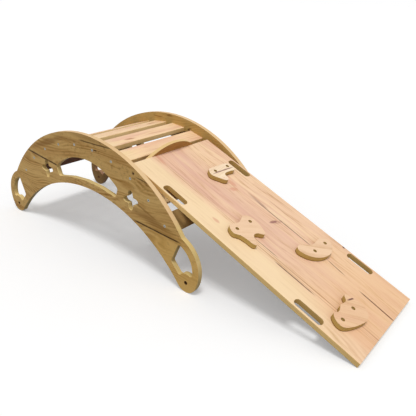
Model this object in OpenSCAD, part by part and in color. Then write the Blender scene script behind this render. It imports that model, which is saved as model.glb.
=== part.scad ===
// Rocking arch for small children, with a climbing ramp hooked over one of its slats.
// X runs along the arch towards the ramp's foot, Y across it and Z up. The origin is on the floor, in the
// middle of the footprint of arch and ramp together.

/* [Boards] */
// Thickness of every board but the hook board
board_t = 18; // [16:0.5:20]
// Rounding of the slats' and the ramp's long edges
edge_r = 2; // [1:0.5:3]
// Length of a slat, which is the distance between the side panels
slat_l = 430; // [390:5:480]

/* [Side panel] */
// Height of the panel's top
arch_h = 441; // [430:1:455]
// Height of the curve underneath
inner_h = 240; // [232:1:248]
// Radius of the curve underneath
inner_r = 578; // [565:1:590]
// Radius of a foot
foot_r = 42; // [38:1:46]
// Diameter of the hole through a foot
foot_hole_d = 12; // [8:0.5:14]
// Drop of that hole below the foot's middle
foot_hole_drop = 6; // [3:0.5:9]
// Rounding of the hollow where the top curve meets a hand ring
shoulder_r = 18; // [10:1:26]

/* [Hand rings] */
// Radius of a hand ring's outside
ring_r = 118; // [112:1:124]
// Height of a hand ring's middle
ring_z = 82; // [76:1:88]
// Distance that a hand ring stands out beyond the curve over the top
ring_proud = 23.7; // [20:0.1:28]
// Width of the wood round the outside of a hand hole
ring_wall = 26; // [22:1:32]
// Width of the wood between a hand hole and the curve underneath
leg_wall = 27; // [24:1:34]
// Radius of the hump of wood over the foot's hole
hump_r = 28; // [22:1:32]
// Lean of the hand hole's straight side from upright
hand_lean = 24; // [20:1:30]
// Distance from the hand ring's middle to the straight side
hand_side = 5.5; // [3:0.5:10]
// Rounding of the hand hole's corners
hand_corner_r = 9; // [6:0.5:12]

/* [Cut-outs] */
// Depth of the bean opening's top below the panel's top
bean_depth = 91; // [85:1:99]
// Radius of the bean opening's top curve
bean_r = 262; // [250:1:275]
// Length of the bean opening between its upper corners
bean_l = 352; // [325:1:365]
// Lean of the bean opening's ends, which come closer together at the bottom
bean_lean = 20; // [0:1:25]
// Width of the wood between the bean opening and the curve underneath
bean_wall = 27; // [22:1:30]
// Rounding of the bean opening's corners
bean_corner_r = 10; // [6:1:14]
// Angle of a star cut-out from upright, about the middle of the curve over the top
star_turn = 31.9; // [30:0.1:34]
// Depth of a star cut-out's middle below the curve over the top
star_depth = 116; // [111:1:121]
// Mean radius of a star cut-out
star_r = 28; // [24:1:31]
// Rise and fall of a star's outline about the mean radius
star_wave = 9; // [5:0.5:11]

/* [Slats] */
// Number of slats, which is even
slat_count = 10; // [8:2:10]
// Angle between slats about the middle of the top curve
slat_pitch = 11; // [10:0.25:12]
// Width of a slat
slat_w = 68; // [62:1:74]
// Depth of the slats' tops below the top curve
slat_depth = 37; // [34:1:42]

/* [Ramp] */
// Length of the ramp board
ramp_l = 928; // [900:2:980]
// Distance between the ramp and each side panel
ramp_side_gap = 15; // [10:1:25]
// Play between the hook board and the slat that it hangs on
hook_play = 0.5; // [0.4:0.1:1.5]
// Rest clearance between the ramp's underside and the slat
rest_gap = 0.2; // [0.1:0.05:0.3]
// Length of a hand slot
slot_l = 100; // [90:1:115]
// Width of a hand slot
slot_w = 30; // [24:1:34]
// Rounding of a hand slot's corners
slot_corner_r = 13; // [8:0.5:14]
// Distance of the slots' middles from either end of the ramp
slot_end = 188; // [170:1:210]
// Distance of the slots' middles from the ramp's long edges
slot_edge = 22; // [20:0.5:40]

/* [Hook board] */
// Thickness of the hook board
hook_t = 12; // [12:0.5:16]
// Rise of the hook board's arched top above the ramp
hook_rise = 36; // [30:1:42]
// Radius of the hook board's arched top
hook_top_r = 186; // [175:1:200]
// Width of the hook board
hook_w = 270; // [250:1:280]
// Depth of the hook board below the ramp's underside
hook_drop = 40; // [34:1:46]
// Rounding of the hook board's lower corners
hook_corner_r = 15; // [8:1:20]

/* [Holds] */
// Distance between the two screws of a hold
hold_pitch = 71; // [68:1:73]
// Diameter of the counterbore over a hold's screw
hold_bore_d = 13; // [12:0.5:15]
// Depth of the counterbore over a hold's screw
hold_bore_depth = 8; // [6:0.5:9]
// Where each hold's screws are centred, from the ramp's upper end and from its middle line
fish_small_at = [171, 79]; // [0:1:900]
// Place of the large fish
fish_large_at = [412, -89]; // [-200:1:900]
// Place of the half moon
half_moon_at = [618, 83]; // [0:1:900]
// Place of the apple
apple_at = [821, -91]; // [-200:1:900]

/* [Fasteners] */
// Diameter of a board screw's head
screw_head_d = 10; // [9:0.5:12]
// Diameter of a board screw's collar, which is its countersunk head's small end
screw_collar_d = 7; // [6:0.5:8]
// Diameter of a board screw's thread
screw_thread_d = 5; // [4:0.5:5.5]
// Length of a board screw
screw_l = 50; // [40:1:60]
// Width across the flats of a screw's socket
socket_w = 4; // [3:0.5:4.5]
// Diameter of a hold screw's pan head
pan_head_d = 10; // [9:0.5:11]
// Height of a hold screw's pan head
pan_head_h = 3; // [2:0.25:4]
// Diameter of a hold screw's thread
pan_thread_d = 4; // [3:0.5:5]
// Wood left under a hold screw's tip
pan_screw_skin = 5; // [4:0.5:8]
// Diameter of a dowel
dowel_d = 8; // [6:1:8]
// Length of a dowel
dowel_l = 30; // [24:1:34]
// Wood left behind a dowel in the board that it stands square to
dowel_skin = 5; // [4:0.5:6]
// Distance from the dowel's middle to the slat's middle
dowel_side = 22; // [16:1:24]
// Radial clearance of a screw or dowel in its hole
fit_gap = 0.1; // [0.05:0.05:0.25]

/* [Hidden] */
$fn = 180;

// Centres of the panel's circles, where a foot touches both the curve underneath and its hand ring. Circles
// that touch overlap by a hair, so that their arcs cross cleanly
overlap = 0.05;
inner_c = [0, inner_h - inner_r];
foot_x = sqrt(pow(inner_r + foot_r - overlap, 2) - pow(foot_r - inner_c.y, 2));
foot_c = [foot_x, foot_r];
ring_x = foot_x - sqrt(pow(ring_r - foot_r + overlap, 2) - pow(ring_z - foot_r, 2));
ring_c = [ring_x, ring_z];

// The curve over the top, as high as the panel and inside the far side of each hand ring
ring_rise = arch_h - ring_z;
ring_inside = ring_r - ring_proud;
outer_r = (pow(ring_x, 2) + pow(ring_rise, 2) - pow(ring_inside, 2)) / (ring_rise - ring_inside) / 2;
outer_c = [0, arch_h - outer_r];
bean_c = [0, arch_h - bean_depth - bean_r];
bean_end = [bean_l / 2, bean_c.y + sqrt(pow(bean_r, 2) - pow(bean_l / 2, 2))];
star_c = outer_c + (outer_r - star_depth) * [sin(star_turn), cos(star_turn)];

// The slats' middles lie on this radius, and so do the screws
slat_mid_r = outer_r - slat_depth - board_t / 2;

// The ramp hangs on the third slat from the middle, which is steeper than the ramp
hook_slat = slat_count / 2 + 3;
hook_slat_a = slat_angle(hook_slat - 1);

// The ramp's slope: its underside passes over that slat's upper corner, and its lower end is on the floor
rest_c = outer_c + turned([edge_r - slat_w / 2, slat_mid_r + board_t / 2 - edge_r], hook_slat_a);
rest_h = edge_r + rest_gap;
rough_slope = asin(rest_c.y / ramp_l);
ramp_past = edge_r + hook_play + (board_t - 2 * edge_r) * max(0, sin(hook_slat_a - rough_slope));
ramp_reach = ramp_l - ramp_past;
slope = asin(rest_c.y / norm([ramp_reach, rest_h])) + atan(rest_h / ramp_reach);
ramp_start = rest_c + turned([-ramp_past, rest_h], slope);

// Middle of the whole footprint, which becomes the origin
arch_end = ring_x + ring_r;
ramp_end = (ramp_start + turned([ramp_l, board_t], slope)).x;
middle_x = (max(arch_end, ramp_end) - arch_end) / 2;

ramp_w = slat_l - 2 * ramp_side_gap;
hook_screw_y = [-0.37, 0, 0.37] * hook_w;
hook_dowel_y = [-0.22, 0.22] * hook_w;
pan_screw_top = board_t - hold_bore_depth;
pan_screw_l = board_t + pan_screw_top - pan_screw_skin;
screw_cone_h = (screw_head_d - screw_collar_d) / 2;
socket_depth = 2.5;
cut = 1; // how far a cut runs past the face it opens

// Outlines of the holds, as points on a smooth closed curve about the middle between the screws
fish_small = [
    [-19, -45], [-12, -58], [2, -67], [17, -66], [36, -53], [54, -40], [57, -27], [46, -18],
    [32, -16], [25, -4], [25, 22], [28, 44], [17, 55], [0, 55], [-14, 43], [-18, 12]
];
fish_large = [
    [-26, -42], [-14, -57], [8, -63], [26, -50], [50, -44], [74, -42], [81, -31], [60, -17],
    [48, -5], [49, 12], [65, 30], [60, 41], [34, 53], [6, 57], [-18, 54], [-30, 36], [-24, 16],
    [-17, -6], [-21, -26]
];
half_moon = [
    [-47, -74], [-34, -88], [-14, -85], [10, -70], [28, -46], [38, -16], [38, 14], [27, 41],
    [6, 60], [-13, 56], [-24, 34], [-22, 4], [-23, -24], [-39, -48]
];
apple = [
    [-30, -38], [-20, -53], [0, -62], [18, -57], [33, -32], [44, 0], [50, 36], [38, 64], [14, 76],
    [-10, 74], [-24, 70], [-43, 65], [-42, 54], [-30, 42], [-29, 30], [-32, 10], [-25, -8], [-23, -22]
];
hold_places = [fish_small_at, fish_large_at, half_moon_at, apple_at];

slat_names = [for (i = [1:slat_count]) str("slat_", i < 10 ? "0" : "", i)];

// ---- Points and angles ----

// Angle of slat i from upright, towards the ramp
function slat_angle(i) = (i - (slat_count - 1) / 2) * slat_pitch;

// The point [along, up] of a frame that leans by angle a towards +X
function turned(p, a) = [p.x * cos(a) + p.y * sin(a), p.y * cos(a) - p.x * sin(a)];

// Where the circles of radius ra about a and rb about b cross, on the left going from a to b
function crossing(a, ra, b, rb) =
    let (d = norm(b - a), u = (b - a) / d, t = (ra * ra - rb * rb + d * d) / (2 * d))
    a + t * u + sqrt(ra * ra - t * t) * [-u.y, u.x];

// The point of the circle of radius r about c that lies towards p
function toward(c, r, p) = c + r * (p - c) / norm(p - c);

// A closed curve through the given points, rounded at each, with n steps from one to the next
function smooth(points, n) = [
    for (i = [0:len(points) - 1], j = [0:n - 1])
        let (
            count = len(points),
            a = points[(i + count - 1) % count],
            b = points[i],
            c = points[(i + 1) % count],
            d = points[(i + 2) % count],
            t = j / n
        )
        (2 * b + (c - a) * t + (2 * a - 5 * b + 4 * c - d) * t * t + (3 * b - a - 3 * c + d) * t * t * t) / 2
];

// ---- Places ----

module at_slat(i) {
    translate([0, 0, outer_c.y])
        rotate([0, slat_angle(i), 0])
            translate([0, 0, slat_mid_r])
                children();
}

// The ramp's own frame: X down its length from its upper end, Y across it, Z up from its underside
module on_ramp() {
    translate([ramp_start.x, 0, ramp_start.y])
        rotate([0, slope, 0])
            children();
}

module about_middle() {
    translate([-middle_x, 0, 0])
        children();
}

module both_ends() {
    children();
    mirror([1, 0, 0])
        children();
}

module far_side() {
    mirror([0, 1, 0])
        children();
}

// An upright board: the outline's X and Y become X and Z, and its outer face looks along -Y
module upright() {
    rotate([90, 0, 0])
        linear_extrude(board_t)
            children();
}

// ---- Outlines ----

module disc(c, r) {
    translate(c)
        circle(r);
}

module rounded(size, r) {
    square([size.x - 2 * r, size.y], center = true);
    square([size.x, size.y - 2 * r], center = true);
    for (x = [-1, 1], y = [-1, 1])
        translate([x * (size.x / 2 - r), y * (size.y / 2 - r)])
            circle(r);
}

module soft_corners(r) {
    offset(r = r, $fn = 48)
        offset(delta = -r)
            children();
}

// The wood that rounds the hollow between the top curve and a hand ring
module shoulder() {
    reach = shoulder_r - overlap;
    hollow_c = crossing(outer_c, outer_r + reach, ring_c, ring_r + reach);
    difference() {
        polygon([
            ring_c,
            toward(ring_c, ring_r, hollow_c),
            hollow_c,
            toward(outer_c, outer_r, hollow_c),
            toward(outer_c, outer_r - ring_wall, hollow_c)
        ]);
        disc(hollow_c, shoulder_r);
    }
}

// The bow between the hand rings, which ends on a line from each ring's middle through its shoulder
module bow() {
    shoulder_at = crossing(outer_c, outer_r, ring_c, ring_r);
    above = ring_c + (shoulder_at - ring_c) * (arch_h - ring_z + cut) / (shoulder_at.y - ring_z);
    intersection() {
        disc(outer_c, outer_r);
        polygon([ring_c, above, [-above.x, above.y], [-ring_c.x, ring_c.y]]);
    }
}

// A hand ring, cut off where its foot begins, and the foot
module ring_and_foot() {
    heel = toward(inner_c, inner_r, foot_c);
    toe = toward(ring_c, ring_r, foot_c);
    difference() {
        disc(ring_c, ring_r);
        polygon([heel, toe, [toe.x, -ring_r], [heel.x, -ring_r]]);
    }
    disc(foot_c, foot_r);
}

module hand_hole() {
    soft_corners(hand_corner_r)
        difference() {
            disc(ring_c, ring_r - ring_wall);
            disc(inner_c, inner_r + leg_wall);
            disc(foot_c, hump_r);
            translate(ring_c)
                rotate(-hand_lean)
                    translate([-2 * ring_r - hand_side, -ring_r])
                        square(2 * ring_r);
        }
}

module bean() {
    low_x = bean_end.x - bean_end.y * tan(bean_lean);
    high_x = bean_end.x + (arch_h - bean_end.y) * tan(bean_lean);
    soft_corners(bean_corner_r)
        difference() {
            intersection() {
                disc(bean_c, bean_r);
                polygon([[low_x, 0], [high_x, arch_h], [-high_x, arch_h], [-low_x, 0]]);
            }
            disc(inner_c, inner_r + bean_wall);
        }
}

module star() {
    step = 7.5;
    translate(star_c)
        polygon([
            for (a = [0:step:360 - step])
                (star_r + star_wave * cos(4 * a)) * [cos(a), sin(a)]
        ]);
}

module panel_outline() {
    difference() {
        union() {
            bow();
            both_ends() {
                shoulder();
                ring_and_foot();
            }
        }
        disc(inner_c, inner_r);
        bean();
        both_ends() {
            hand_hole();
            star();
        }
    }
}

// ---- Fasteners, each along +Z from the face it goes in at ----

// A countersunk screw for a board of thickness t, with a socket in its head, which is flush with the face
module board_screw(t) {
    difference() {
        board_screw_solid(t, 0, 0);
        translate([0, 0, -cut])
            cylinder(h = socket_depth + cut, d = socket_w / cos(30), $fn = 6);
    }
}

// The screw's own form, or its hole, with a gap round the shank and the head's cone run on above the face
module board_screw_solid(t, gap, above) {
    tip_h = screw_thread_d / 2;
    rotate_extrude()
        polygon([
            [0, -above],
            [screw_head_d / 2 + above, -above],
            [screw_collar_d / 2, screw_cone_h],
            [screw_collar_d / 2 + gap, screw_cone_h],
            [screw_collar_d / 2 + gap, t + gap],
            [screw_thread_d / 2 + gap, t + gap],
            [screw_thread_d / 2 + gap, screw_l - tip_h + gap],
            [0, screw_l + gap]
        ]);
}

module board_screw_hole(t) {
    board_screw_solid(t, fit_gap, cut);
}

// A hold's pan-head screw, with the underside of its head at 0
module pan_screw() {
    tip_h = pan_thread_d / 2;
    difference() {
        rotate_extrude()
            polygon([
                [0, -pan_head_h],
                [pan_head_d / 4, -pan_head_h],
                [pan_head_d / 2, -pan_head_h / 3],
                [pan_head_d / 2, 0],
                [pan_thread_d / 2, 0],
                [pan_thread_d / 2, pan_screw_l - tip_h],
                [0, pan_screw_l]
            ]);
        translate([0, 0, -pan_head_h - cut])
            cylinder(h = pan_head_h / 2 + cut, d = pan_head_d / 3, $fn = 6);
    }
}

// A dowel that stands in a board of thickness t, whose face is at 0, and runs on into another board's end
module dowel(t) {
    translate([0, 0, dowel_skin - t])
        cylinder(h = dowel_l, d = dowel_d);
}

// That dowel's hole in the board that it stands in
module dowel_hole(t) {
    translate([0, 0, dowel_skin - t])
        cylinder(h = t - dowel_skin + cut, d = dowel_d + 2 * fit_gap);
}

// That dowel's hole in the other board's end
module dowel_end_hole(t) {
    translate([0, 0, -cut])
        cylinder(h = dowel_l - t + dowel_skin + fit_gap + cut, d = dowel_d + 2 * fit_gap);
}

// Turns +Z to +Y at the near panel's outer face, for slat i's screw
module slat_screw_place(i) {
    at_slat(i)
        translate([0, -slat_l / 2 - board_t, 0])
            rotate([-90, 0, 0])
                children();
}

// Turns +Z to +Y at the near panel's inner face, beside slat i's screw
module slat_dowel_place(i) {
    at_slat(i)
        translate([dowel_side, -slat_l / 2, 0])
            rotate([-90, 0, 0])
                children();
}

// ---- Arch ----

module side_panel() {
    color("burlywood")
        difference() {
            translate([0, -slat_l / 2, 0])
                upright()
                    panel_outline();
            for (i = [0:slat_count - 1]) {
                slat_screw_place(i)
                    board_screw_hole(board_t);
                slat_dowel_place(i)
                    dowel_hole(board_t);
            }
            both_ends()
                translate([foot_x, -slat_l / 2 + cut, foot_r - foot_hole_drop])
                    rotate([90, 0, 0])
                        cylinder(h = board_t + 2 * cut, d = foot_hole_d);
        }
}

module slat_fastener_holes(i) {
    slat_screw_place(i)
        board_screw_hole(board_t);
    slat_dowel_place(i)
        dowel_end_hole(board_t);
}

module slat(i) {
    color("wheat")
        difference() {
            at_slat(i)
                rotate([90, 0, 0])
                    linear_extrude(slat_l, center = true)
                        rounded([slat_w, board_t], edge_r);
            slat_fastener_holes(i);
            far_side()
                slat_fastener_holes(i);
        }
}

module panel_screws() {
    color("silver")
        for (i = [0:slat_count - 1])
            slat_screw_place(i)
                board_screw(board_t);
}

module slat_dowels() {
    color("tan")
        for (i = [0:slat_count - 1])
            slat_dowel_place(i)
                dowel(board_t);
}

// ---- Ramp, in its own frame ----

// Turns +Z down the ramp at the hook board's outer face, at distance y from the middle line
module hook_screw_place(y) {
    translate([-hook_t, y, board_t / 2])
        rotate([0, 90, 0])
            children();
}

// Turns +Z down the ramp at its upper end
module hook_dowel_place(y) {
    translate([0, y, board_t / 2])
        rotate([0, 90, 0])
            children();
}

// Each screw of a hold at the given place, with the underside of its head at 0 and +Z into the ramp
module hold_screw_places(place) {
    for (side = [-1, 1])
        translate([place.x, place.y + side * hold_pitch / 2, board_t + pan_screw_top])
            rotate([180, 0, 0])
                children();
}

module ramp_board() {
    slot_x = [slot_end, ramp_l - slot_end];
    slot_y = ramp_w / 2 - slot_edge;
    color("navajowhite")
        difference() {
            translate([0, 0, board_t / 2])
                rotate([90, 0, 90])
                    linear_extrude(ramp_l)
                        rounded([ramp_w, board_t], edge_r);
            for (x = slot_x, side = [-1, 1])
                translate([x, side * slot_y, -cut])
                    linear_extrude(board_t + 2 * cut)
                        rounded([slot_l, slot_w], slot_corner_r);
            for (y = hook_screw_y)
                hook_screw_place(y)
                    board_screw_hole(hook_t);
            for (y = hook_dowel_y)
                hook_dowel_place(y)
                    dowel_end_hole(hook_t);
            for (place = hold_places)
                hold_screw_places(place)
                    cylinder(h = pan_screw_l + fit_gap, d = pan_thread_d + 2 * fit_gap);
        }
}

module ramp_hook_board() {
    top_z = board_t + hook_rise;
    side_top = top_z + hook_corner_r; // the arch cuts the board's sides off below this
    color("goldenrod")
        difference() {
            translate([-hook_t, 0, 0])
                rotate([90, 0, 90])
                    linear_extrude(hook_t)
                        intersection() {
                            disc([0, top_z - hook_top_r], hook_top_r);
                            translate([0, (side_top - hook_drop) / 2])
                                rounded([hook_w, side_top + hook_drop], hook_corner_r);
                        }
            for (y = hook_screw_y)
                hook_screw_place(y)
                    board_screw_hole(hook_t);
            for (y = hook_dowel_y)
                hook_dowel_place(y)
                    dowel_hole(hook_t);
        }
}

module hook_screws() {
    color("silver")
        for (y = hook_screw_y)
            hook_screw_place(y)
                board_screw(hook_t);
}

module hook_dowels() {
    color("tan")
        for (y = hook_dowel_y)
            hook_dowel_place(y)
                dowel(hook_t);
}

module hold(points, place) {
    curve_steps = 5;
    color("peachpuff")
        difference() {
            translate([place.x, place.y, board_t])
                linear_extrude(board_t)
                    polygon(smooth(points, curve_steps));
            hold_screw_places(place) {
                translate([0, 0, -board_t])
                    cylinder(h = board_t, d = hold_bore_d);
                cylinder(h = board_t, d = pan_thread_d + 2 * fit_gap);
            }
        }
}

module hold_screws() {
    color("silver")
        for (place = hold_places)
            hold_screw_places(place)
                pan_screw();
}

// ---- Whole object ----

about_middle() side_panel();  // side_panel_near
about_middle() far_side() side_panel();  // side_panel_far
for (i = [0:slat_count - 1])
    about_middle() slat(i);
about_middle() panel_screws();  // panel_screws_near
about_middle() far_side() panel_screws();  // panel_screws_far
about_middle() slat_dowels();  // slat_dowels_near
about_middle() far_side() slat_dowels();  // slat_dowels_far
about_middle() on_ramp() ramp_board();
about_middle() on_ramp() ramp_hook_board();
about_middle() on_ramp() hook_screws();
about_middle() on_ramp() hook_dowels();
about_middle() on_ramp() hold(fish_small, fish_small_at);  // hold_fish_small
about_middle() on_ramp() hold(fish_large, fish_large_at);  // hold_fish_large
about_middle() on_ramp() hold(half_moon, half_moon_at);  // hold_half_moon
about_middle() on_ramp() hold(apple, apple_at);  // hold_apple
about_middle() on_ramp() hold_screws();
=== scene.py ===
import math

import bpy
from mathutils import Matrix, Vector

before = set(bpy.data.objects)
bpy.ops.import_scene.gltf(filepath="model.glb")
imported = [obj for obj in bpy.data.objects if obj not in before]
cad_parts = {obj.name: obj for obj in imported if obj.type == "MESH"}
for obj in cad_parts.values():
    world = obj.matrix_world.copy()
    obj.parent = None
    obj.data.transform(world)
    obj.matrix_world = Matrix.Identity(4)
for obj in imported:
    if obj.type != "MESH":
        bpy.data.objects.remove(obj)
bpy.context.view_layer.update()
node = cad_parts

# ---- Viewpoint ----
# The photograph was taken from the near side, a little past the ramp's foot, at the height of a kneeling
# grown-up's head and with a nearly normal lens. Angles are in radians, FOCUS and MIDDLE in its pixels.
EYE = Vector((1.10707, -1.25415, 0.90413))
TURN, DOWN, TILT = 0.67954, 0.42053, 0.02537
FOCUS, MIDDLE, PICTURE = 484.63, (201.378, 209.489), 416
FILM_MM, SIGHT = 36, 200

ahead = Vector((-math.sin(TURN) * math.cos(DOWN), math.cos(TURN) * math.cos(DOWN), -math.sin(DOWN)))
level = Vector((math.cos(TURN), math.sin(TURN), 0))
upward = level.cross(ahead)
side = level * math.cos(TILT) + upward * math.sin(TILT)
top = upward * math.cos(TILT) - level * math.sin(TILT)
camera = bpy.data.objects.new("camera", bpy.data.cameras.new("camera"))
camera.matrix_world = Matrix((side, top, -ahead)).transposed().to_4x4()
camera.location = EYE
camera.data.sensor_width = FILM_MM
camera.data.lens = FILM_MM * FOCUS / PICTURE
camera.data.shift_x = (PICTURE / 2 - MIDDLE[0]) / PICTURE
camera.data.shift_y = (MIDDLE[1] - PICTURE / 2) / PICTURE
camera.data.clip_end = SIGHT
bpy.context.scene.collection.objects.link(camera)
bpy.context.scene.camera = camera
bpy.context.scene.view_settings.view_transform = "Standard"

# ---- Side panels ----
# Two chipboard panels with an oak print on both faces, routed to the arch's outline. A plain plastic band
# is glued round the outline, the hand rings, the bean opening and the stars. The print imitates old planks,
# with dark seams, knots and brown streaks.


class Shade:
    """A value in a material. A sum that is written with it adds the Math nodes for that sum."""

    # A Mix node has several sockets of one name, so its colour sockets go by number
    AMOUNT, UNDER, OVER, MIXED = 0, 6, 7, 2

    def __init__(self, tree, socket=None):
        self.tree, self.socket = tree, socket

    def node(self, kind, settings=None, inputs=None, out=0):
        """Adds a node of any kind: its settings come first, and then what feeds its sockets."""
        made = self.tree.nodes.new(kind)
        for key, value in (settings or {}).items():
            if key == "stops":
                stops = made.color_ramp.elements
                for place, (at, colour) in enumerate(value):
                    stop = stops[place] if place < 2 else stops.new(at)
                    stop.position, stop.color = at, colour
            else:
                setattr(made, key, value)
        for key, value in (inputs or {}).items():
            if isinstance(value, Shade):
                value.feed(made, key)
            else:
                made.inputs[key].default_value = value
        return Shade(self.tree, made.outputs[out] if made.outputs else None)

    def feed(self, taker, name):
        """Joins the value to a socket of a node."""
        self.tree.links.new(self.socket, taker.inputs[name])

    def sum(self, operation, *values):
        return self.node("ShaderNodeMath", {"operation": operation}, dict(enumerate(values)))

    def __add__(self, other):
        return self.sum("ADD", self, other)

    def __sub__(self, other):
        return self.sum("SUBTRACT", self, other)

    def __rsub__(self, other):
        return self.sum("SUBTRACT", other, self)

    def __mul__(self, other):
        return self.sum("MULTIPLY", self, other)

    def __truediv__(self, other):
        return self.sum("DIVIDE", self, other)

    __radd__, __rmul__ = __add__, __mul__

    def size(self):
        """The value without its sign."""
        return self.sum("ABSOLUTE", self)

    def capped(self):
        """The value, or 1 where it is more."""
        return self.sum("MINIMUM", self, 1.0)

    def reach(self, across, up):
        """The distance that two steps at a right angle make."""
        return self.sum("SQRT", across * across + up * up)

    def step(self, start, end):
        """0 at start and 1 at end, with a soft change between."""
        settings = {"interpolation_type": "SMOOTHSTEP"}
        return self.node("ShaderNodeMapRange", settings, {"Value": self, "From Min": start, "From Max": end})

    def tint(self, under, colour, amount):
        """A colour laid over another by that amount."""
        inputs = {self.AMOUNT: amount, self.UNDER: under, self.OVER: colour}
        return self.node("ShaderNodeMix", {"data_type": "RGBA"}, inputs, out=self.MIXED)

    def reading(self, vector, axis):
        """How far a vector reaches along an axis."""
        settings = {"operation": "DOT_PRODUCT"}
        return self.node("ShaderNodeVectorMath", settings, {0: vector, 1: axis}, out="Value")


def paint(red, green, blue):
    """A colour as a material wants it, from the values that a screen shows it with."""
    return tuple(((c / 255 + 0.055) / 1.055) ** 2.4 for c in (red, green, blue)) + (1,)


class Board(Shade):
    """The finish of one kind of board. u runs along its grain, v across it and w through it, in metres."""

    SHINE, RELIEF, RELIEF_SHARE = 0.08, 0.00008, 0.6
    # How squarely a surface lies to the board where its face starts, and where it is all face
    FACE = (0.55, 0.75)
    # Where the print's tones start and how far they spread, out of the noise's 0 to 1
    TONES_FROM, TONES_SPREAD = 0.28, 0.44

    def __init__(self, name, start, along, across):
        self.material = bpy.data.materials.new(name)
        self.material.use_nodes = True
        super().__init__(self.material.node_tree)
        self.surface = self.tree.nodes["Principled BSDF"]
        self.surface.inputs["Specular IOR Level"].default_value = self.SHINE
        self.point = self.node("ShaderNodeTexCoord", out="Object")
        self.facing = self.node("ShaderNodeTexCoord", out="Normal")
        along, across = Vector(along).normalized(), Vector(across).normalized()
        through = along.cross(across)
        self.u, self.v, self.w = (
            self.reading(self.point, axis) - Vector(start).dot(axis) for axis in (along, across, through)
        )
        self.flat = self.reading(self.facing, through).size().step(*self.FACE)

    def cloud(self, along, across, seed, through=9, detail=2.0, rough=0.5, bent=None):
        """Noise from 0 to 1, with that many waves to the metre. bent takes the place of v on bent grain."""
        v = self.v if bent is None else bent
        place = {"X": self.u * along, "Y": v * across, "Z": self.w * through + seed}
        place = self.node("ShaderNodeCombineXYZ", None, place)
        inputs = {"Vector": place, "Scale": 1.0, "Detail": detail, "Roughness": rough}
        return self.node("ShaderNodeTexNoise", None, inputs)

    def crack(self, start, end, width, wander, seed):
        """A thin line of the print, from one (u, v) to another. It wanders that far, and its ends fade."""
        (u0, v0), (u1, v1) = start, end
        longest_fade, core, faintest = 0.03, 0.35, 0.7
        middle = (self.u - u0) * ((v1 - v0) / (u1 - u0)) + (self.cloud(9, 0, seed) - 0.5) * wander + v0
        fade = min(longest_fade, (u1 - u0) / 3)
        ends = self.u.step(u0, u0 + fade) * self.u.step(u1, u1 - fade)
        strength = self.cloud(25, 0, seed + 2).step(0.25, 0.55) * (1 - faintest) + faintest
        return (self.v - middle).size().step(width, width * core) * ends * strength

    def patch(self, centre, length, width, lean=0.0, ragged=0.5):
        """A knot or smear of the print: 1 in the middle, 0 at the edge. It rises by lean for each metre."""
        du = self.u - centre[0]
        dv = self.v - centre[1] - du * lean
        reach = (du * (1 / length)) * (du * (1 / length)) + (dv * (1 / width)) * (dv * (1 / width))
        return (reach + (self.cloud(1 / length, 1 / width, centre[0] * 9) - 0.5) * ragged * 2).step(1, 0)

    def marks(self, cracks=(), patches=()):
        """All marks of one ink. A row is a mark's strength, and then what crack or patch takes."""
        each = [self.crack(*shape) * strength for strength, *shape in cracks]
        each += [self.patch(*shape) * strength for strength, *shape in patches]
        return sum(each[1:], each[0]).capped()

    def inked_or_shaded(self, wood, ink, where, strength=1.0):
        """The print with ink or painted shade laid over it, where the marks or the soft steps are."""
        return self.tint(wood, paint(*ink), where * strength)

    def oak(self, tones, seed, streaks, rings, wave):
        """The oak print: broad bands of tone, brown streaks, growth rings, fibres and pores."""
        rings_apart, rings_bend, fibre_height, pore_ink = 520, 40, 0.5, 0.3
        warp = self.cloud(2.2, 6, seed)
        self.bent = self.v + (warp - 0.5) * wave
        band = self.cloud(1.3, 13, seed + 3, detail=3.0, rough=0.55, bent=self.bent)
        apart = self.TONES_SPREAD / (len(tones) - 1)
        stops = [(self.TONES_FROM + apart * place, paint(*tone)) for place, tone in enumerate(tones)]
        colour = self.node("ShaderNodeValToRGB", {"stops": stops}, {"Fac": band})
        fibre = self.cloud(7, 80, seed + 7, detail=4.0, rough=0.7, bent=self.bent)
        ring = self.sum("SINE", self.bent * rings_apart + warp * rings_bend) * 0.5 + 0.5
        ring = ring * self.cloud(4, 24, seed + 5).step(0.42, 0.68)
        pore = self.cloud(30, 1100, seed + 11, detail=1).step(0.6, 0.75)
        pore = pore * self.cloud(6, 60, seed + 13).step(0.4, 0.6)
        self.relief = fibre * fibre_height - pore
        return self.darken(colour, fibre.step(0.48, 0.8) * streaks + ring * rings + pore * pore_ink)

    def darken(self, colour, amount, strength=0.45):
        """Darkens a colour, the blue most and the red least, as print ink does. Also lays painted shade."""
        green_follows_blue = 0.45
        left = 1 - amount * strength
        green = left * (left * green_follows_blue + (1 - green_follows_blue))
        shade = self.node("ShaderNodeCombineColor", None, {"Red": left, "Green": green, "Blue": left * left})
        settings = {"data_type": "RGBA", "blend_type": "MULTIPLY"}
        inputs = {self.AMOUNT: 1.0, self.UNDER: colour, self.OVER: shade}
        return self.node("ShaderNodeMix", settings, inputs, out=self.MIXED)

    def banded(self, wood, light, dark):
        """The plastic edge band, finely lined, with a thin line of painted shade where it meets the face."""
        edge_shade_gain, edge_shade_strength = 3, 0.6
        line = self.cloud(7, 7, 31, through=700, detail=3)
        tone = self.cloud(5, 5, 37, detail=1)
        mottle = line.step(0.4, 0.7) * 0.5 + tone.step(0.35, 0.65) * 0.5
        band = self.tint(paint(*light), paint(*dark), mottle)
        # Painted shade: a thin dark line where the band turns into the face
        edge_shade = self.flat * (1 - self.flat) * edge_shade_gain
        return self.darken(self.tint(band, wood, self.flat), edge_shade, edge_shade_strength)

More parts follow.
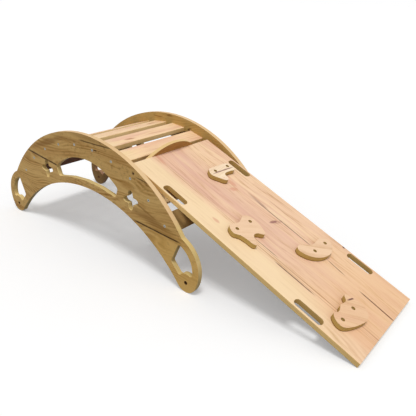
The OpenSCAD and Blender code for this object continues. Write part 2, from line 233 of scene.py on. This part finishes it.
    def finish(self, colour, rough=0.5):
        """Joins the colour, the sheen and the fine relief of the print to the board's surface."""
        rough_spread = 0.14
        colour.feed(self.surface, "Base Color")
        sheen = self.cloud(30, 200, 50) * rough_spread + (rough - rough_spread / 2)
        sheen.feed(self.surface, "Roughness")
        height = self.relief * self.flat
        height = {"Strength": self.RELIEF_SHARE, "Distance": self.RELIEF, "Height": height}
        self.node("ShaderNodeBump", None, height).feed(self.surface, "Normal")
        return self.material


def dress(material, *names):
    """Gives pieces of the CAD part their material."""
    for name in names:
        node[name].data.materials.clear()
        node[name].data.materials.append(material)


# On a panel, u is measured from the arch's middle and v from the floor. A pair of sizes says where a change
# starts and where it is complete
ARCH_MIDDLE = -0.266174
BOW_TOP, BOW_R = 0.441, 0.568085
BOW_MIDDLE = BOW_TOP - BOW_R
BOW_EDGE, BOW_ENDS = (BOW_R - 0.012, BOW_R - 0.006), (0.46, 0.42)
FOOT_HOLE, FOOT_HOLE_R, HOLE_RIM = (0.489835, 0.036), 0.0064, 0.0004
RING, RING_REACH, RING_OUTSIDE = (0.4252, 0.082), (0.108, 0.100), (0.53, 0.535)

PANEL_TONES = ((186, 142, 84), (216, 172, 106), (226, 186, 118), (232, 192, 124), (200, 154, 92))
TOP_BAND, RING_BAND = ((233, 199, 153), (221, 183, 131)), ((252, 224, 164), (238, 206, 138))
INNER_BAND = ((240, 212, 148), (220, 190, 122))
SEAM_INK, STREAK_INK, BARE_CHIPBOARD = (70, 42, 20), (138, 92, 42), (96, 64, 34)


def panel_board(name, seed):
    """A panel's board and its oak print, with small brown hatches."""
    board = Board(name, (ARCH_MIDDLE, 0, 0), (1, 0, 0), (0, 0, 1))
    wood = board.oak(PANEL_TONES, seed, streaks=0.9, rings=0.7, wave=0.12)
    hatch = board.cloud(55, 90, seed + 17, detail=3, rough=0.7).step(0.5, 0.7)
    hatch = hatch * board.cloud(3, 7, seed + 19).step(0.42, 0.6)
    return board, board.inked_or_shaded(wood, STREAK_INK, hatch, strength=0.5)


def cut_out(board, wood):
    """Lays the bands on a panel's edges and bares the chipboard in its foot holes."""
    bow = board.reach(board.u, board.v - BOW_MIDDLE).step(*BOW_EDGE)
    over_top = bow * board.u.size().step(*BOW_ENDS)
    at_ring = board.u.size().step(*RING_OUTSIDE)
    inner = board.tint(board.banded(wood, *INNER_BAND), board.banded(wood, *RING_BAND), at_ring)
    outer = board.banded(wood, *TOP_BAND)
    from_hole = board.reach(board.u.size() - FOOT_HOLE[0], board.v - FOOT_HOLE[1])
    drilled = from_hole.step(FOOT_HOLE_R + HOLE_RIM, FOOT_HOLE_R)
    return board.inked_or_shaded(board.tint(inner, outer, over_top), BARE_CHIPBOARD, drilled)


# The near panel's marks: strength, then for a streak or knot its middle, length, width, lean and raggedness,
# and for a seam its start, end, width, wander and seed
NEAR_STREAKS = (
    (1.0, (-0.22, 0.368), 0.12, 0.016, 0.35, 0.8),
    (1.0, (0.335, 0.212), 0.13, 0.02, -0.2, 0.8),
    (0.7, (0.04, 0.436), 0.20, 0.018),
    (0.6, (-0.1, 0.405), 0.12, 0.006),
    (1.0, (0.30, 0.242), 0.07, 0.006, -0.35),
    (0.6, (0.40, 0.18), 0.08, 0.01, -0.15),
)
NEAR_SEAMS = (
    (1.0, (-0.372, 0.3105), (-0.155, 0.2845), 0.0046, 0.003, 1),
    (0.8, (-0.03, 0.4165), (0.165, 0.4195), 0.0036, 0.006, 2),
    (1.0, (0.240, 0.189), (0.475, 0.173), 0.004, 0.004, 3),
    (0.8, (0.262, 0.349), (0.335, 0.337), 0.003, 0.01, 4),
)
NEAR_KNOTS = (
    (1.0, (0.257, 0.358), 0.008, 0.007),
    (1.0, (0.066, 0.395), 0.012, 0.0036),
)
HONEY = (246, 198, 112)

near, wood = panel_board("panel_near_oak", 3.0)
wood = near.inked_or_shaded(wood, STREAK_INK, near.marks(patches=NEAR_STREAKS), strength=0.6)
near_foot = near.u.step(0.26, 0.40) * near.v.step(0.22, 0.14)
wood = near.inked_or_shaded(wood, HONEY, near_foot, strength=0.5)
wood = near.inked_or_shaded(wood, SEAM_INK, near.marks(NEAR_SEAMS, NEAR_KNOTS))
dress(near.finish(cut_out(near, wood)), "side_panel_near")

# The far panel's marks, in the same order
FAR_STREAKS = (
    (1.0, (0.004, 0.434), 0.022, 0.006),
    (1.0, (0.116, 0.398), 0.012, 0.004),
    (1.0, (-0.06, 0.42), 0.04, 0.003),
)
FAR_SEAMS = (
    (1.0, (-0.33, 0.27), (0.02, 0.262), 0.003, 0.004, 5),
    (1.0, (0.02, 0.382), (0.17, 0.378), 0.003, 0.004, 6),
)
FAR_KNOTS = ((1.0, (0.11, 0.392), 0.008, 0.005),)
OLIVE, PAINTED_LEG_SHADE, RING_BROWN = (178, 148, 84), (124, 92, 60), (150, 106, 88)

far, wood = panel_board("panel_far_oak", 14.0)
wood = far.inked_or_shaded(wood, OLIVE, far.v.step(0.25, 0.36), strength=0.6)
# Painted shade: the far panel's left leg is printed darker brown
wood = far.inked_or_shaded(wood, PAINTED_LEG_SHADE, far.u.step(-0.30, -0.46), strength=0.75)
wood = far.inked_or_shaded(wood, STREAK_INK, far.marks(patches=FAR_STREAKS), strength=0.8)
wood = far.inked_or_shaded(wood, SEAM_INK, far.marks(FAR_SEAMS, FAR_KNOTS))
in_ring = far.reach(far.u + RING[0], far.v - RING[1]).step(*RING_REACH) * (1 - far.flat)
dress(far.finish(far.inked_or_shaded(cut_out(far, wood), RING_BROWN, in_ring, strength=0.85)), "side_panel_far")

# ---- Slats ----
# Ten rungs of the same board between the panels, each screwed and dowelled at both ends. Their print is
# paler and pinker than the panels', its grain runs from panel to panel, and their edges have a beige band.
SLAT_PITCH, SLAT_R, PRINT_APART = math.radians(11), 0.522, 0.83
SLAT_TONES = ((228, 182, 150), (246, 206, 168), (252, 218, 174), (236, 190, 162), (250, 212, 172))
SLAT_BAND = ((246, 214, 158), (228, 192, 132))
SMEAR_INK, BLUSH, CREAM = (170, 100, 70), (232, 178, 152), (250, 226, 178)
# Painted shade: a browner print on the slats under the ramp, and dark brown undersides
PAINTED_SHADE_BY_RAMP, PAINTED_UNDERSIDE_SHADE = (168, 128, 60), (132, 74, 24)
# Which slat a smear is on, and then its shape as above
SLAT_SMEARS = (
    (0.0, (-0.063, 0.007), 0.034, 0.008, 0.1, 0.8),
    (-1.0, (0.155, 0.001), 0.028, 0.007, 0.1, 0.8),
)

slat = Board("slat_oak", (0, 0, 0), (0, 1, 0), (1, 0, 0))
away = slat.reading(slat.point, (1, 0, 0)) - ARCH_MIDDLE
above = slat.reading(slat.point, (0, 0, 1)) - BOW_MIDDLE
turn = slat.sum("ARCTAN2", away, above)
# The slats are counted from the arch's middle: 0 to 4 towards the ramp, and -1 to -5 the other way
number = slat.sum("FLOOR", turn / SLAT_PITCH)
outward = slat.reading(slat.facing, (1, 0, 0)) * slat.sum("SINE", turn)
outward = outward + slat.reading(slat.facing, (0, 0, 1)) * slat.sum("COSINE", turn)
slat.v = (turn - (number + 0.5) * SLAT_PITCH) * SLAT_R
slat.w = number * PRINT_APART
slat.flat = outward.size().step(*slat.FACE)
wood = slat.oak(SLAT_TONES, 5.0, streaks=0.45, rings=0.3, wave=0.05)
smears = [(slat.sum("COMPARE", number, which, 0.1), *shape) for which, *shape in SLAT_SMEARS]
wood = slat.inked_or_shaded(wood, SMEAR_INK, slat.marks(patches=smears), strength=0.7)
blush = slat.u.step(-0.12, -0.02) * slat.u.step(0.16, 0.06) * slat.v.step(0.03, -0.02)
wood = slat.inked_or_shaded(wood, BLUSH, blush * slat.cloud(5, 40, 8).step(0.35, 0.6), strength=0.5)
wood = slat.inked_or_shaded(wood, CREAM, slat.u.step(-0.10, -0.17), strength=0.6)
# Painted shade: the last two slats, under the ramp, get a browner print, the last one fully
wood = slat.inked_or_shaded(wood, PAINTED_SHADE_BY_RAMP, number.step(2.2, 3.8), strength=0.8)
# Painted shade: the slats' downward faces are dark brown
wood = slat.inked_or_shaded(wood, PAINTED_UNDERSIDE_SHADE, outward.step(-0.3, -0.7))
dress(slat.finish(slat.banded(wood, *SLAT_BAND)), *(f"slat_{count:02d}" for count in range(1, 11)))

# ---- Ramp ----
# One long board of the same make, whose grain runs down the slope. It has four hand slots, and its print is
# split by long thin cracks. The near strip is cream, the middle pink and the far side beige.
SLOPE = math.radians(22.8563)
# The upper end of the board's underside, from which u runs downhill
RAMP_TOP = (0.213374 + ARCH_MIDDLE, 0, 0.360456)
DOWNHILL = (math.cos(SLOPE), 0, -math.sin(SLOPE))
RAMP_HALF = 0.2
LONG_EDGE = (RAMP_HALF - 0.0025, RAMP_HALF - 0.001)
RAMP_TONES = ((230, 190, 160), (242, 204, 170), (248, 214, 176), (238, 196, 166), (249, 218, 180))
TAN, GRAIN_INK, PINK, PALE_CREAM = (234, 184, 138), (176, 122, 90), (222, 174, 158), (249, 223, 180)
CRACK_INK, KNOT_INK, FLUSH_INK = (84, 34, 22), (134, 78, 82), (214, 142, 118)
SLOT_BAND, PAINTED_LIGHT_EDGE_BAND = ((222, 188, 120), (204, 164, 96)), ((252, 214, 146), (240, 200, 128))
RAMP_CRACKS = (
    (0.8, (0.345, 0.0825), (0.60, 0.081), 0.0030, 0.003, 1),
    (0.7, (0.65, 0.079), (0.745, 0.070), 0.003, 0.002, 2),
    (1.0, (0.79, 0.0555), (0.945, 0.0470), 0.0034, 0.001, 3),
    (0.7, (0.455, -0.0825), (0.57, -0.081), 0.0026, 0.002, 4),
    (1.0, (0.555, -0.1055), (0.725, -0.104), 0.0030, 0.004, 5),
)
RAMP_SPOTS = ((1.0, (0.665, 0.196), 0.007, 0.006),)
RAMP_KNOTS = (
    (1.0, (0.447, 0.050), 0.009, 0.019, 1.2),
    (0.6, (0.350, 0.088), 0.055, 0.008, 0.0, 0.8),
    (0.35, (0.458, 0.066), 0.010, 0.024, 1.2),
)
RAMP_FLUSHES = (
    (1.0, (0.34, -0.14), 0.018, 0.009),
    (1.0, (0.02, -0.088), 0.05, 0.009, -0.1, 0.9),
    (1.0, (0.235, 0.075), 0.03, 0.012),
    (1.0, (0.262, 0.052), 0.014, 0.018, 0.8, 0.8),
)

ramp = Board("ramp_oak", RAMP_TOP, DOWNHILL, (0, 1, 0))
wood = ramp.oak(RAMP_TONES, 9.0, streaks=0.75, rings=0.22, wave=0.05)
wood = ramp.inked_or_shaded(wood, TAN, ramp.u.step(0.5, 0.85) * ramp.v.step(-0.16, -0.12), strength=0.5)
lines = (ramp.v + 0.083).size().step(0.03, 0.01) * ramp.cloud(2.5, 190, 23, detail=3).step(0.5, 0.66)
wood = ramp.inked_or_shaded(wood, GRAIN_INK, lines, strength=0.6)
middle = ramp.bent.step(-0.115, -0.06) * ramp.bent.step(0.12, -0.02) * ramp.u.step(0.85, 0.45)
middle = middle * ramp.cloud(2, 26, 21, detail=3).step(0.3, 0.65)
wood = ramp.inked_or_shaded(wood, PINK, middle, strength=0.6)
near_strip = ramp.bent.step(-0.095, -0.13) * ramp.u.step(0.95, 0.6)
wood = ramp.inked_or_shaded(wood, PALE_CREAM, near_strip, strength=0.7)
wood = ramp.inked_or_shaded(wood, CRACK_INK, ramp.marks(RAMP_CRACKS, RAMP_SPOTS), strength=0.92)
wood = ramp.inked_or_shaded(wood, KNOT_INK, ramp.marks(patches=RAMP_KNOTS), strength=0.8)
wood = ramp.inked_or_shaded(wood, FLUSH_INK, ramp.marks(patches=RAMP_FLUSHES), strength=0.5)
# Painted light: the band on the ramp's long outer edges is lighter than in the hand slots
lit_long_edges = ramp.v.size().step(*LONG_EDGE)
banded = ramp.tint(ramp.banded(wood, *SLOT_BAND), ramp.banded(wood, *PAINTED_LIGHT_EDGE_BAND), lit_long_edges)
dress(ramp.finish(banded), "ramp_board")

# ---- Hook board ----
# A short upright board screwed and dowelled across the ramp's upper end. Its arched top stands above the
# ramp, and its lower part drops into the gap between two slats and keeps the ramp from sliding off.
HOOK_TONES = ((150, 104, 52), (172, 126, 68), (184, 138, 78), (164, 116, 60))
HOOK_BAND = ((238, 208, 152), (224, 188, 128))

hook = Board("hook_oak", RAMP_TOP, (0, 1, 0), (math.sin(SLOPE), 0, math.cos(SLOPE)))
wood = hook.oak(HOOK_TONES, 17.0, streaks=0.5, rings=0.4, wave=0.03)
dress(hook.finish(hook.banded(wood, *HOOK_BAND)), "ramp_hook_board")

# ---- Holds ----
# Four climbing holds sawn from the same board and banded round: two fish, a half moon and an apple. Each is
# held by two pan-head screws sunk in counterbores, and the grain runs a different way on each.
HOLD_TONES = ((239, 202, 167), (242, 206, 171), (245, 211, 175), (240, 203, 169))
PALE_TONES = ((248, 218, 186), (254, 232, 200), (244, 210, 182))
APPLE_TONES = ((235, 191, 154), (238, 197, 158), (240, 201, 161), (233, 189, 153))
HOLD_BAND = ((196, 166, 100), (172, 142, 78))
# Heights above the ramp's underside between which the painted shade at a hold's foot fades out
HOLD_FOOT_SHADE = (0.0235, 0.0185)
# A vein of the print: its ink and strength, and then its line
FISH_VEIN = ((120, 70, 76), 0.85, (-0.068, 0.0), (0.060, -0.0225), 0.0036, 0.008, 8)
APPLE_VEIN = ((104, 60, 60), 0.9, (0.004, 0.0505), (0.046, 0.0755), 0.0045, 0.002, 9)
# Each hold's name, its print's seed, where it sits down and across the ramp, the turn of its grain in
# degrees, its tones and its vein
HOLDS = (
    ("hold_fish_small", 21.0, (0.171, 0.079), 97, PALE_TONES, FISH_VEIN),
    ("hold_fish_large", 25.0, (0.412, -0.089), 60, HOLD_TONES, None),
    ("hold_half_moon", 29.0, (0.618, 0.083), 50, HOLD_TONES, None),
    ("hold_apple", 33.0, (0.821, -0.091), 40, APPLE_TONES, APPLE_VEIN),
)

for name, seed, place, grain, tones, vein in HOLDS:
    turned = math.radians(grain)
    along = Vector(DOWNHILL) * math.cos(turned) + Vector((0, math.sin(turned), 0))
    across = Vector(DOWNHILL) * -math.sin(turned) + Vector((0, math.cos(turned), 0))
    start = Vector(RAMP_TOP) + Vector(DOWNHILL) * place[0] + Vector((0, place[1], 0))
    hold = Board(name + "_oak", start, along, across)
    wood = hold.oak(tones, seed, streaks=0.45, rings=0.22, wave=0.05)
    if vein:
        ink, strength, *line = vein
        wood = hold.inked_or_shaded(wood, ink, hold.crack(*line), strength)
    # Painted shade darkens each hold's foot, where it stands on the ramp
    foot = hold.w.size().step(*HOLD_FOOT_SHADE)
    dress(hold.finish(hold.darken(hold.banded(wood, *HOLD_BAND), foot, strength=0.5)), name)

# ---- Screws ----
# Zinc-plated countersunk screws through the panels and the hook board, and brighter pan heads in the holds.
# The plating is a little cloudy, with fine scratches.
DULL_ZINC, BRIGHT_ZINC, CLOUDED = (176, 178, 172), (226, 222, 208), 30
CLOUDS_TO_METRE, SCRATCHES_TO_METRE = 400.0, 3000.0


def plated(name, grey, rough):
    """Zinc plating of that grey. Its roughness varies round the given value."""
    material = bpy.data.materials.new(name)
    material.use_nodes = True
    metal = Shade(material.node_tree)
    surface = metal.tree.nodes["Principled BSDF"]
    surface.inputs["Metallic"].default_value = 1.0
    point = metal.node("ShaderNodeTexCoord", out="Object")
    clouds = {"Vector": point, "Scale": CLOUDS_TO_METRE, "Detail": 3.0}
    cloudy = metal.node("ShaderNodeTexNoise", None, clouds)
    scratches = {"Vector": point, "Scale": SCRATCHES_TO_METRE, "Detail": 1.0}
    scratch = metal.node("ShaderNodeTexNoise", None, scratches)
    clouded = paint(*(channel - CLOUDED for channel in grey))
    metal.tint(paint(*grey), clouded, cloudy.step(0.35, 0.65)).feed(surface, "Base Color")
    (cloudy * 0.2 + scratch * 0.1 + (rough - 0.15)).feed(surface, "Roughness")
    return material


dull = plated("zinc_plate_dull", DULL_ZINC, rough=0.4)
dress(dull, "panel_screws_near", "panel_screws_far", "hook_screws")
dress(plated("zinc_plate_bright", BRIGHT_ZINC, rough=0.35), "hold_screws")

# ---- Dowels ----
# Beech dowels glued in beside the screws, so that no slat can turn. They are out of sight in the boards.
BEECH_TONES = ((214, 170, 120), (226, 186, 138), (220, 176, 126))

beech = Board("dowel_beech", (0, 0, 0), (0, 1, 0), (1, 0, 0))
wood = beech.oak(BEECH_TONES, 41.0, streaks=0.3, rings=0.2, wave=0.01)
dress(beech.finish(wood, rough=0.65), "slat_dowels_near", "slat_dowels_far", "hook_dowels")

# ---- Floor and light ----
# A plain white floor, a broad lamp high on the near side, and a white sky that is a little brighter beyond
# the ramp's foot. The floor throws little light back, so that the undersides stay dark.
FLOOR_SIZE, FLOOR_WHITE, FLOOR_GLOW, FLOOR_BOUNCE = 120, 0.8, 0.26, 0.06
SKY, SKY_TILT = 0.63, (0.3, -0.12, -0.1)
LAMP_STRENGTH, LAMP_WIDTH, TO_LAMP = 1.3, math.radians(16), (0.2, -0.27, 0.94)
WHITE = (1, 1, 1, 1)

bpy.ops.mesh.primitive_plane_add(size=FLOOR_SIZE)
floor = bpy.context.object
floor.name = "floor"
floor_paint = bpy.data.materials.new("floor_paint")
floor_paint.use_nodes = True
ground = Shade(floor_paint.node_tree)


def looked_at(shade):
    """1 for what the camera sees, also in gloss and through glass, and 0 for light that bounces on."""
    straight, gloss, glass = (
        shade.node("ShaderNodeLightPath", out=ray)
        for ray in ("Is Camera Ray", "Is Glossy Ray", "Is Transmission Ray")
    )
    return (straight + gloss + glass).capped()


def matt(grey):
    """A matt grey surface of the floor."""
    return ground.node("ShaderNodeBsdfDiffuse", None, {"Color": (grey, grey, grey, 1)})


glow = ground.node("ShaderNodeEmission", None, {"Color": WHITE, "Strength": FLOOR_GLOW})
lit = ground.node("ShaderNodeAddShader", None, {0: matt(FLOOR_WHITE), 1: glow})
shown = ground.node("ShaderNodeMixShader", None, {0: looked_at(ground), 1: matt(FLOOR_BOUNCE), 2: lit})
shown.feed(ground.tree.nodes["Material Output"], "Surface")
floor.data.materials.append(floor_paint)

world = bpy.data.worlds.new("studio")
bpy.context.scene.world = world
world.use_nodes = True
air = Shade(world.node_tree)
background = world.node_tree.nodes["Background"]
background.inputs["Color"].default_value = WHITE
seen = looked_at(air)
sky = air.reading(air.node("ShaderNodeTexCoord", out="Generated"), SKY_TILT) + SKY
(seen + (1 - seen) * sky.sum("MAXIMUM", sky, 0.0)).feed(background, "Strength")

lamp = bpy.data.lights.new("overhead", "SUN")
lamp.energy = LAMP_STRENGTH
lamp.angle = LAMP_WIDTH
overhead = bpy.data.objects.new("overhead", lamp)
overhead.rotation_euler = Vector(TO_LAMP).to_track_quat("Z", "Y").to_euler()
bpy.context.scene.collection.objects.link(overhead)
